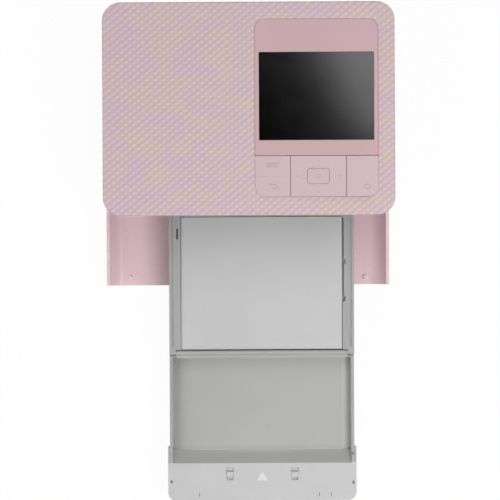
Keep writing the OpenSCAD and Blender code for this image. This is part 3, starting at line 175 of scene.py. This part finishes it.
def weaveFinish():
    # a moulded lattice of fine rows at both slants, the rising rows stronger than the falling ones
    look = {
        "pitch": 3.32,  # mm from row to row
        "slant": 39,  # degrees
        "level": 0.3, "rising": 0.2, "falling": -0.14, "crossed": 0.64,  # share of each in the height
        "depth": 0.09,  # mm
        "rough": 0.5,
    }
    # each pair runs from the tint in the hollows, darkened as painted shade, to the tint on the ridges
    beige = (srgb(191, 169, 163), srgb(218, 197, 189))
    lilac = (srgb(187, 163, 175), srgb(213, 191, 206))
    material, tree, shader = newMaterial("topWeave")

    def rows(angle):
        place = objectPlace(tree, turn=(0, 0, -(90 + angle)))
        wave = tree.nodes.new("ShaderNodeTexWave")
        wave.inputs["Scale"].default_value = 2 * math.pi / (20 * look["pitch"] * mm)
        link(tree, place, wave.inputs["Vector"])
        return wave.outputs["Fac"]

    rising, falling = rows(look["slant"]), rows(-look["slant"])
    lattice = calc(tree, "ADD", calc(tree, "MULTIPLY", rising, look["rising"]),
                   calc(tree, "MULTIPLY", falling, look["falling"]))
    height = calc(tree, "ADD", calc(tree, "ADD", lattice, look["level"]),
                  calc(tree, "MULTIPLY", calc(tree, "MULTIPLY", rising, falling), look["crossed"]))
    streaks = noise(tree, objectPlace(tree, (1, 1.7, 1), (0, 0, -look["slant"])), 75, 3)
    fine = noise(tree, objectPlace(tree), 3000, 3)
    # the colour follows the rows' height, darker in the hollows and lighter on the ridges: painted shade of the
    # moulded relief, besides the bump; the beige and lilac streaks are tone
    both = mixColours(tree, remap(tree, streaks, 0, 1, 0.35, 0.65), mixColours(tree, height, *beige),
                      mixColours(tree, height, *lilac))
    grained = mixColours(tree, remap(tree, fine, 0, 0.2), both, beige[0])
    link(tree, grained, shader.inputs["Base Color"])
    link(tree, remap(tree, fine, look["rough"] - 0.05, look["rough"] + 0.08), shader.inputs["Roughness"])
    shader.inputs["Specular IOR Level"].default_value = 0.4
    bump(tree, shader, calc(tree, "ADD", height, calc(tree, "MULTIPLY", fine, 0.1)), look["depth"] * mm, 0.8)
    return material


def screenFinish():
    material, tree, shader = newMaterial("screenGlass")
    smear = noise(tree, objectPlace(tree, (1, 1.6, 1), (0, 0, 30)), 60, 4)
    link(tree, mixColours(tree, remap(tree, smear, 0, 1), srgb(2, 2, 2), srgb(3, 3, 3)),
         shader.inputs["Base Color"])
    link(tree, remap(tree, smear, 0.1, 0.12), shader.inputs["Roughness"])
    shader.inputs["Specular IOR Level"].default_value = 1
    bump(tree, shader, smear, 0.002 * mm, 0.2)
    return material


def boardFinish():
    # green solder mask with lighter copper tracks and small pads
    material, tree, shader = newMaterial("boardGreen")
    place = objectPlace(tree)
    cells = tree.nodes.new("ShaderNodeTexBrick")
    cells.inputs["Scale"].default_value = 300
    cells.inputs["Mortar Size"].default_value = 0.03
    cells.inputs["Color1"].default_value = (1, 1, 1, 1)
    cells.inputs["Color2"].default_value = (0.8, 0.8, 0.8, 1)
    cells.inputs["Mortar"].default_value = (0, 0, 0, 1)
    link(tree, place, cells.inputs["Vector"])
    wide = noise(tree, place, 90, 3)
    mask = mixColours(tree, remap(tree, wide, 0, 1), srgb(34, 88, 58), srgb(28, 74, 50))
    link(tree, mixColours(tree, cells.outputs["Color"], srgb(66, 128, 84), mask), shader.inputs["Base Color"])
    link(tree, remap(tree, wide, 0.3, 0.45), shader.inputs["Roughness"])
    bump(tree, shader, cells.outputs["Fac"], 0.03 * mm, 0.5)
    return material


materials = {
    "casePink": finish("casePink", srgb(203, 176, 179), 0.42, patch=30, patchStrength=0.03, grain=2200,
                       grainDepth=0.012),
    "panelPink": finish("panelPink", srgb(199, 168, 171), 0.36, patch=25, patchStrength=0.025, grain=1800,
                        grainDepth=0.006, second=srgb(202, 168, 174)),
    "keyPink": finish("keyPink", srgb(203, 181, 184), 0.4, patch=40, patchStrength=0.025, grain=2600,
                      grainDepth=0.008),
    "doorPink": finish("doorPink", srgb(236, 206, 212), 0.26, patch=22, patchStrength=0.03, grain=1500,
                       grainDepth=0.005, coat=0.3),
    # the cassette's own grey, also used as painted shade on the print tray's flat wall tops and rim sides
    "trayGreyAndShade": finish("trayGreyAndShade", srgb(162, 162, 162), 0.5, patch=35, patchStrength=0.04, grain=2400,
                       grainDepth=0.02),
    "lidGrey": finish("lidGrey", srgb(191, 191, 191), 0.48, patch=30, patchStrength=0.03, grain=2400,
                      grainDepth=0.02),
    # the lid's grey darkened as painted shade on the print tray's sunk floor, slope and left side
    "lidPaintedShade": finish("lidPaintedShade", srgb(169, 169, 168), 0.55, patch=28, patchStrength=0.03, grain=2000,
                        grainDepth=0.025),
    # the lid's grey lightened as painted light on the print tray's right gutter, against the wall's shadow
    "gutterPaintedLight": finish("gutterPaintedLight", srgb(180, 180, 179), 0.52, patch=30, patchStrength=0.03, grain=2200,
                         grainDepth=0.022),
    "darkPlastic": finish("darkPlastic", srgb(46, 46, 48), 0.5, patch=80, patchStrength=0.1, grain=2000,
                          grainDepth=0.02),
    "fasciaPlastic": finish("fasciaPlastic", srgb(132, 114, 117), 0.5, patch=60, patchStrength=0.06, grain=2200,
                            grainDepth=0.02),
    "whitePlastic": finish("whitePlastic", srgb(222, 219, 210), 0.42, patch=60, patchStrength=0.04, grain=2600,
                           grainDepth=0.012),
    "sheetSteel": finish("sheetSteel", srgb(176, 179, 182), 0.36, patch=120, patchStrength=0.08, grain=900,
                         grainDepth=0.006, metal=1, brushed=(1, 1, 14)),
    "shaftSteel": finish("shaftSteel", srgb(192, 194, 196), 0.24, patch=200, patchStrength=0.06, grain=1400,
                         grainDepth=0.003, metal=1, brushed=(9, 1, 1)),
    "motorSteel": finish("motorSteel", srgb(160, 163, 166), 0.3, patch=150, patchStrength=0.08, grain=1200,
                         grainDepth=0.004, metal=1, brushed=(12, 1, 1)),
    "rubberBlack": finish("rubberBlack", srgb(40, 40, 41), 0.78, patch=90, patchStrength=0.12, grain=3200,
                          grainDepth=0.03, specular=0.3),
    "brassYellow": finish("brassYellow", srgb(196, 164, 92), 0.28, patch=200, patchStrength=0.06, grain=1500,
                          grainDepth=0.004, metal=1, brushed=(10, 1, 1)),
    "aluminium": finish("aluminium", srgb(190, 192, 195), 0.34, patch=120, patchStrength=0.05, grain=1000,
                        grainDepth=0.006, metal=1, brushed=(1, 12, 1)),
    "ceramicCream": finish("ceramicCream", srgb(214, 206, 188), 0.22, patch=90, patchStrength=0.03, grain=1800,
                           grainDepth=0.003, coat=0.4),
    "paperWhite": finish("paperWhite", srgb(238, 237, 233), 0.35, patch=25, patchStrength=0.01, grain=300,
                         grainDepth=0.015, brushed=(1, 1, 30)),
    "dyeFilm": finish("dyeFilm", srgb(58, 62, 104), 0.2, patch=50, patchStrength=0.15, grain=700, grainDepth=0.004,
                      second=srgb(116, 62, 78), coat=0.3),
    "supplyFilm": finish("supplyFilm", srgb(205, 150, 84), 0.26, patch=60, patchStrength=0.1, grain=900,
                         grainDepth=0.01, brushed=(8, 1, 1)),
    "printedMark": finish("printedMark", srgb(178, 150, 155), 0.5, patch=200, patchStrength=0.05, grain=3000,
                          grainDepth=0.004),
    "paleMark": finish("paleMark", srgb(214, 214, 214), 0.45, patch=200, patchStrength=0.02, grain=3000,
                       grainDepth=0.004),
    "shadowGrey": finish("shadowGrey", srgb(112, 113, 115), 0.6, patch=200, patchStrength=0.05, grain=2600,
                         grainDepth=0.01),
    "topWeave": weaveFinish(),
    "screenGlass": screenFinish(),
    "boardGreen": boardFinish(),
}
print("finishes made:", len(materials))


# the record's slots, and the finish each one gets
slotFinish = {
    "pink_case": "casePink", "pink_top": "topWeave", "pink_panel": "panelPink", "pink_key": "keyPink",
    "pink_door": "doorPink", "screen_glass": "screenGlass", "tray_grey": "trayGreyAndShade", "lid_grey": "lidGrey",
    "dark_plastic": "darkPlastic", "fascia_plastic": "fasciaPlastic", "white_plastic": "whitePlastic",
    "sheet_steel": "sheetSteel", "shaft_steel": "shaftSteel", "motor_steel": "motorSteel", "rubber": "rubberBlack",
    "board_green": "boardGreen", "brass": "brassYellow", "aluminium": "aluminium", "ceramic": "ceramicCream",
    "paper": "paperWhite", "dye_film": "dyeFilm", "supply_film": "supplyFilm",
}
nodeSlot = {part["node"]: part["material_slot"] for part in frame["record"]["subparts"]}
nodeBody = {n: body for body, members in frame["record"]["behaviour"]["bodies"].items() for n in members}
for nodeName, node in nodes.items():
    for place in node.material_slots:
        place.material = materials[slotFinish[nodeSlot[nodeName]]]


# ---- modelling helpers ----
def startFresh():
    if bpy.context.object and bpy.context.object.mode != "OBJECT":
        bpy.ops.object.mode_set(mode="OBJECT")
    bpy.ops.object.select_all(action="DESELECT")


def pick(piece):
    startFresh()
    piece.select_set(True)
    bpy.context.view_layer.objects.active = piece


def editWhole(piece):
    pick(piece)
    bpy.ops.object.mode_set(mode="EDIT")
    bpy.ops.mesh.select_all(action="SELECT")


def finishPiece(piece, name, body, material, smooth=35):
    pick(piece)
    piece.name = name
    piece.data.name = name
    bpy.ops.object.transform_apply(location=True, rotation=True, scale=True)
    bpy.ops.object.shade_smooth_by_angle(angle=math.radians(smooth))
    piece.data.materials.clear()
    piece.data.materials.append(materials[material])
    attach(piece, body)


def softEdges(piece, width, steps, angle=40):
    pick(piece)
    rounding = piece.modifiers.new("edges", "BEVEL")
    rounding.width = width * mm
    rounding.segments = steps
    rounding.limit_method = "ANGLE"
    rounding.angle_limit = math.radians(angle)
    rounding.miter_outer = "MITER_ARC"
    rounding.use_clamp_overlap = False
    rounding.loop_slide = False
    bpy.ops.object.modifier_apply(modifier="edges")


def evenNormals(piece):
    pick(piece)
    piece.modifiers.new("normals", "WEIGHTED_NORMAL").keep_sharp = True
    bpy.ops.object.modifier_apply(modifier="normals")


joining = {"weld": 0.03, "flat": 0.4}  # mm between corners, degrees between faces


def mergedCopy(node, name):
    # a node's mesh is loose triangles: its copy is welded
    piece = bpy.data.objects.new(name, nodes[node].data.copy())
    bpy.context.scene.collection.objects.link(piece)
    editWhole(piece)
    bpy.ops.mesh.remove_doubles(threshold=joining["weld"] * mm)
    bpy.ops.object.mode_set(mode="OBJECT")
    return piece


# ---- moulded parts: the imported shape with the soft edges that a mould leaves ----
mouldedParts = {
    # node: (piece, edge rounding in mm, steps)
    "base_pan": ("base_shell", 0.1, 2),
    "case_wall": ("wall_shell", 0.16, 2),
    "display_panel": ("display_frame", 0.22, 3),
    "screen_glass": ("screen_window", 0.12, 2),
    "front_fascia": ("fascia_shell", 0.16, 2),
    "front_door": ("door_shell", 0.3, 3),
    "cassette_base": ("cassette_tray", 0.08, 2),
    "inner_lid": ("inner_cover", 0.16, 2),
    "outer_lid": ("print_tray", 0.2, 2),
    "ink_cover": ("ink_flap", 0.2, 2),
    "battery_cap": ("rear_cap", 0.2, 2),
    "menu_key": ("menu_rocker", 0.08, 2),
    "four_way_pad": ("arrow_pad", 0.08, 2),
    "ok_button": ("centre_button", 0.16, 3),
    "power_key": ("power_button", 0.16, 3),
}


printTray = {
    # mm in the frame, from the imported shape
    "centre": 8.3, "floorHalf": 51.4, "floorTop": 14.6,
    "slopeFoot": -125.1, "lipEdge": -133.4, "lipTop": 22.0,
    "footReach": 3.6, "footStrips": 8,
    "near": 0.03,  # a corner this close to the floor or slope is on it
    "past": 0.3,  # the floor's own edges are that little past its half width
    "crossCuts": (-133.4, -135.2, -140.5),
    "lengthCuts": (-47.5, -16.5, -8.5, 25.1, 33.1, 64.1),
    # how far a face leans, by its normal
    "aslant": 0.05, "steep": 0.6, "level": 0.8,
}


def cutAcross(piece, place, axis):
    editWhole(piece)
    bpy.ops.mesh.bisect(plane_co=[place * mm * a for a in axis], plane_no=axis, threshold=1e-6)
    bpy.ops.object.mode_set(mode="OBJECT")


def cutTray(piece):
    # its flat faces are made whole and cut square, so that no sliver lies along a rounded edge
    editWhole(piece)
    bpy.ops.mesh.dissolve_limited(angle_limit=math.radians(joining["flat"]))
    bpy.ops.object.mode_set(mode="OBJECT")
    for y in printTray["crossCuts"]:
        cutAcross(piece, y, (0, 1, 0))
    for x in printTray["lengthCuts"]:
        cutAcross(piece, x, (1, 0, 0))
    roundFoot(piece)


def roundFoot(piece):
    # a wide rounding where the floor turns up into the slope: strips cut across, lifted onto an arc
    tray = printTray
    rise = (tray["lipTop"] - tray["floorTop"]) / (tray["slopeFoot"] - tray["lipEdge"])
    tilt, reach, strips = math.atan(rise), tray["footReach"], tray["footStrips"]
    radius = reach / math.tan(tilt / 2)
    start, end = tray["slopeFoot"] + reach, tray["slopeFoot"] - reach * math.cos(tilt)
    for step in range(strips + 1):
        cutAcross(piece, start + (end - start) * step / strips, (0, 1, 0))
    for corner in piece.data.vertices:
        x, y, z = (value / mm for value in corner.co)
        plain = tray["floorTop"] + max(0, tray["slopeFoot"] - y) * rise
        onFloor = abs(x - tray["centre"]) < tray["floorHalf"] + tray["past"]
        if end < y < start and onFloor and abs(z - plain) < tray["near"]:
            corner.co.z = (tray["floorTop"] + radius - math.sqrt(radius ** 2 - (start - y) ** 2)) * mm


def makeMoulded(node):
    name, width, steps = mouldedParts[node]
    piece = mergedCopy(node, name)
    if node == "outer_lid":
        cutTray(piece)
    softEdges(piece, width, steps)
    slot = nodeSlot[node]
    finishPiece(piece, name, nodeBody[node], slotFinish[slot])
    evenNormals(piece)
    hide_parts(node)
    return piece


moulded = {node: makeMoulded(node) for node in mouldedParts}


def toneTray():
    # painted light and shade on one grey part: the lip's top keeps the part's own grey, the sunk floor, the slope
    # and the left side get painted shade, the flat wall tops and the rim's sides a darker painted shade, and the
    # right gutter, which faces away from the lamps and lies in the wall's shadow, painted light to match the left
    # one
    piece, tray = moulded["outer_lid"], printTray
    tones = {"lidGrey": 0, "lidPaintedShade": 1, "trayGreyAndShade": 2, "gutterPaintedLight": 3}
    for name in ("lidPaintedShade", "trayGreyAndShade", "gutterPaintedLight"):
        piece.data.materials.append(materials[name])
    for face in piece.data.polygons:
        across, y = face.center.x / mm - tray["centre"], face.center.y / mm
        lean = abs(face.normal.x)
        # painted shade on the floor, slope, left side and flat wall tops; painted light on the right gutter
        if y > tray["lipEdge"]:
            if abs(across) < tray["floorHalf"]:
                tone = "lidPaintedShade"
            elif lean <= tray["aslant"]:
                tone = "trayGreyAndShade"
            elif across <= 0:
                tone = "lidPaintedShade"
            else:
                tone = "lidGrey" if lean > tray["steep"] else "gutterPaintedLight"
            face.material_index = tones[tone]
        # painted shade on the rim's sides and the other leaning faces of the lip
        elif face.normal.z < tray["level"]:
            face.material_index = tones["trayGreyAndShade"]


toneTray()
print("moulded parts made:", len(moulded))


# ---- top cover: weave on its upper face, plain band round its side ----
topShell = {"smooth": 50, "lean": 0.25, "bandTop": 56.7}  # degrees, least upward normal, mm


def makeTop():
    piece = mergedCopy("top_cover", "top_shell")
    finishPiece(piece, "top_shell", "body", "topWeave", topShell["smooth"])
    piece.data.materials.append(materials["casePink"])
    for face in piece.data.polygons:
        woven = face.normal.z > topShell["lean"] and face.center.z > topShell["bandTop"] * mm
        face.material_index = 0 if woven else 1
    evenNormals(piece)
    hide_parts("top_cover")


makeTop()


# ---- marks on the keys ----
keyTop = 57.6
printHeight = 0.03


def flatBar(x, y, width, length, rounding=0.12, z=keyTop, height=printHeight):
    bpy.ops.mesh.primitive_cube_add(size=1, location=(x * mm, y * mm, (z + height / 2) * mm))
    bar = bpy.context.object
    bar.scale = (width * mm, length * mm, height * mm)
    bpy.ops.object.transform_apply(location=False, rotation=False, scale=True)
    softUpright(bar, rounding)
    return bar


def softUpright(piece, rounding):
    # rounds the upright corners of a flat piece
    bpy.ops.object.mode_set(mode="EDIT")
    bpy.ops.mesh.select_mode(type="EDGE")
    bpy.ops.mesh.select_all(action="DESELECT")
    bpy.ops.object.mode_set(mode="OBJECT")
    corners = piece.data.vertices
    for edge in piece.data.edges:
        a, b = corners[edge.vertices[0]].co, corners[edge.vertices[1]].co
        if abs(a.x - b.x) < 1e-7 and abs(a.y - b.y) < 1e-7:
            edge.select = True
    bpy.ops.object.mode_set(mode="EDIT")
    bpy.ops.mesh.bevel(offset=rounding * mm, segments=3)
    bpy.ops.object.mode_set(mode="OBJECT")


def joinPieces(parts):
    startFresh()
    for part in parts:
        part.select_set(True)
    bpy.context.view_layer.objects.active = parts[0]
    bpy.ops.object.join()
    return bpy.context.object


def flatTriangle(x, y, radius, turn, z=keyTop, height=printHeight):
    bpy.ops.mesh.primitive_cylinder_add(vertices=3, radius=radius * mm, depth=height * mm,
                                        location=(x * mm, y * mm, (z + height / 2) * mm),
                                        rotation=(0, 0, math.radians(turn)))
    piece = bpy.context.object
    softUpright(piece, radius * 0.12)
    return piece


def flatArc(x, y, radius, start, end, width):
    # a short bar spun about an upright axis
    bpy.ops.mesh.primitive_plane_add(size=1, location=(0, 0, 0))
    piece = bpy.context.object
    bpy.ops.object.mode_set(mode="EDIT")
    bpy.ops.transform.resize(value=(width * mm, printHeight * mm, 1))
    bpy.ops.object.mode_set(mode="OBJECT")
    piece.rotation_euler = (math.radians(90), 0, math.radians(start))
    piece.location = ((x + radius * math.cos(math.radians(start))) * mm,
                      (y + radius * math.sin(math.radians(start))) * mm,
                      (keyTop + printHeight / 2) * mm)
    bpy.ops.object.transform_apply(location=True, rotation=True, scale=True)
    bpy.ops.object.mode_set(mode="EDIT")
    bpy.ops.mesh.select_all(action="SELECT")
    bpy.ops.mesh.spin(steps=24, angle=math.radians(start - end), center=(x * mm, y * mm, keyTop * mm),
                      axis=(0, 0, 1))
    bpy.ops.mesh.select_all(action="SELECT")
    bpy.ops.mesh.fill_holes(sides=4)
    bpy.ops.mesh.normals_make_consistent(inside=False)
    bpy.ops.object.mode_set(mode="OBJECT")
    return piece


keyMarks = {
    # piece: (its key, its strokes), in mm and degrees
    # a bar has x, y, width, length; a triangle x, y, radius, turn; an arc x, y, radius, start, end, width
    "menu_marks": ("menu_key", (
        (flatBar, 14.7, 54.6, 7.6, 0.462),
        (flatBar, 14.7, 55.8, 7.6, 0.462),
        (flatBar, 14.7, 57.0, 7.6, 0.462),
        (flatBar, 14.7, 48.7, 15.2, 0.16, 0.05),
        (flatBar, 14.9, 43.6, 2.6, 0.42),
        (flatArc, 16.2, 42.35, 1.25, -90, 90, 0.42),
        (flatBar, 15.2, 41.1, 2.0, 0.42),
        (flatTriangle, 13.1, 43.6, 0.95, 30),
    )),
    "pad_arrows": ("four_way_pad", (
        (flatTriangle, 30.4, 48.7, 0.7, 30),
        (flatTriangle, 56.3, 48.7, 0.7, -30),
        (flatTriangle, 43.2, 58.6, 0.7, 0),
        (flatTriangle, 43.2, 38.7, 0.7, 180),
    )),
    "centre_mark": ("ok_button", (
        (flatArc, 43.2, 48.7, 1.15, 0, 180, 0.336),
        (flatArc, 43.2, 48.7, 1.15, 180, 360, 0.336),
    )),
    "power_mark": ("power_key", (
        (flatArc, 73.9, 42.3, 1.75, 128, 412, 0.42),
        (flatBar, 73.9, 43.5, 0.42, 2.1),
    )),
}


def makeKeyMarks():
    for name, (key, strokes) in keyMarks.items():
        parts = [shape(*sizes) for shape, *sizes in strokes]
        finishPiece(joinPieces(parts), name, key, "printedMark")


makeKeyMarks()
print("key marks made")


# ---- marks on the print tray's lip ----
trayMarks = {
    "triangle": {"y": -142.6, "radius": 3.9, "height": 0.12},
    "lines": {"x": 7.9, "y": -148.2, "down": 2.2, "width": 9, "narrower": 1.2, "length": 0.28,
              "corner": 0.12, "height": 0.05},
    "ticks": {"places": ((-32.0, -153.6), (44.7, -153.6), (52.4, -153.6)), "size": (0.5, 2.4),
              "corner": 0.12, "height": 0.04},
    "sides": {"places": ((-49.8, -145.2), (66.3, -127.5), (66.6, -146.0)), "size": (1.4, 2.0),
              "corner": 0.4, "height": 0.04},
}


def lipMarks(look):
    return [flatBar(x, y, *look["size"], look["corner"], printTray["lipTop"], look["height"])
            for x, y in look["places"]]


def makeTrayDetails():
    top = printTray["lipTop"]
    look = trayMarks["triangle"]
    triangle = flatTriangle(printTray["centre"], look["y"], look["radius"], 0, top, look["height"])
    finishPiece(triangle, "tray_triangle", "outer_lid", "paleMark")
    look = trayMarks["lines"]
    lines = [flatBar(look["x"], look["y"] - look["down"] * i, look["width"] - look["narrower"] * i,
                     look["length"], look["corner"], top, look["height"]) for i in range(3)]
    small = lipMarks(trayMarks["ticks"]) + lipMarks(trayMarks["sides"])
    finishPiece(joinPieces(lines), "tray_lines", "outer_lid", "lidGrey")
    finishPiece(joinPieces(small), "tray_ticks", "outer_lid", "shadowGrey")


makeTrayDetails()
print("tray details made")


# ---- floor and lamps ----
floorLook = {"size": 14, "tone": 0.86, "rough": 0.9, "plain": 0.95}  # m, then shares


def makeFloor():
    bpy.ops.mesh.primitive_plane_add(size=floorLook["size"], location=(0, 0, 0))
    floor = bpy.context.object
    floor.name = "paleFloor"
    material, tree, shader = newMaterial("floorWhite")
    shader.inputs["Base Color"].default_value = (floorLook["tone"],) * 3 + (1,)
    shader.inputs["Roughness"].default_value = floorLook["rough"]
    glow = tree.nodes.new("ShaderNodeEmission")
    glow.inputs["Strength"].default_value = 1
    path = tree.nodes.new("ShaderNodeLightPath")
    seen = calc(tree, "MAXIMUM", path.outputs["Is Camera Ray"],
                calc(tree, "MAXIMUM", path.outputs["Is Glossy Ray"], path.outputs["Is Transmission Ray"]))
    mix = tree.nodes.new("ShaderNodeMixShader")
    link(tree, calc(tree, "MULTIPLY", seen, floorLook["plain"]), mix.inputs["Fac"])
    link(tree, shader.outputs["BSDF"], mix.inputs[1])
    link(tree, glow.outputs["Emission"], mix.inputs[2])
    link(tree, mix.outputs["Shader"], tree.nodes["Material Output"].inputs["Surface"])
    floor.data.materials.append(material)


lamps = {
    # name: place in m, aim in m, width and length in m, power in W
    "frontKey": ((0.36, -0.36, 0.74), (0, 0, 0), (0.6, 0.6), 4.6),
    "leftFill": ((-1.0, -0.5, 0.9), (0, -0.05, 0), (0.9, 0.9), 7.5),
    "rearFill": ((0.1, 1.2, 1.3), (0, 0, 0), (0.9, 0.9), 6.8),
}
card = {"edge": 0.287, "turn": 24, "slide": 0.46, "height": 2.05, "width": 0.9, "length": 0.8, "power": 5}
# light of the room, by how steeply a ray goes up
studio = {"ceiling": 0.006, "sides": 0.24, "low": 0.78, "high": 0.93}


def addLamp(name, place, turn, size, power):
    bpy.ops.object.light_add(type="AREA", location=place)
    lamp = bpy.context.object
    lamp.name = name
    lamp.data.shape = "RECTANGLE"
    lamp.data.size, lamp.data.size_y = size
    lamp.data.energy = power
    lamp.rotation_euler = turn
    lamp.visible_camera = False


def makeLamps():
    for name, (place, aim, size, power) in lamps.items():
        turn = (Vector(aim) - Vector(place)).to_track_quat("-Z", "Y").to_euler()
        addLamp(name, place, turn, size, power)
    # a soft card overhead on the right, whose edge fades across the screen
    turn = math.radians(card["turn"])
    across = Vector((math.cos(turn), math.sin(turn), 0))
    along = Vector((-math.sin(turn), math.cos(turn), 0))
    place = across * (card["edge"] + card["width"] / 2) + along * card["slide"] + Vector((0, 0, card["height"]))
    addLamp("overheadCard", place, (0, 0, turn), (card["width"], card["length"]), card["power"])


def makeRoom():
    world = bpy.context.scene.world or bpy.data.worlds.new("studio")
    bpy.context.scene.world = world
    world.use_nodes = True
    tree = world.node_tree
    sky = tree.nodes["Background"]
    sky.inputs["Color"].default_value = (1, 1, 1, 1)
    split = tree.nodes.new("ShaderNodeSeparateXYZ")
    link(tree, tree.nodes.new("ShaderNodeTexCoord").outputs["Generated"], split.inputs["Vector"])
    link(tree, remap(tree, split.outputs["Z"], studio["sides"], studio["ceiling"],
                     studio["low"], studio["high"]), sky.inputs["Strength"])


makeFloor()
makeLamps()
makeRoom()
bpy.context.scene.view_settings.view_transform = "Standard"
print("floor and lamps made")
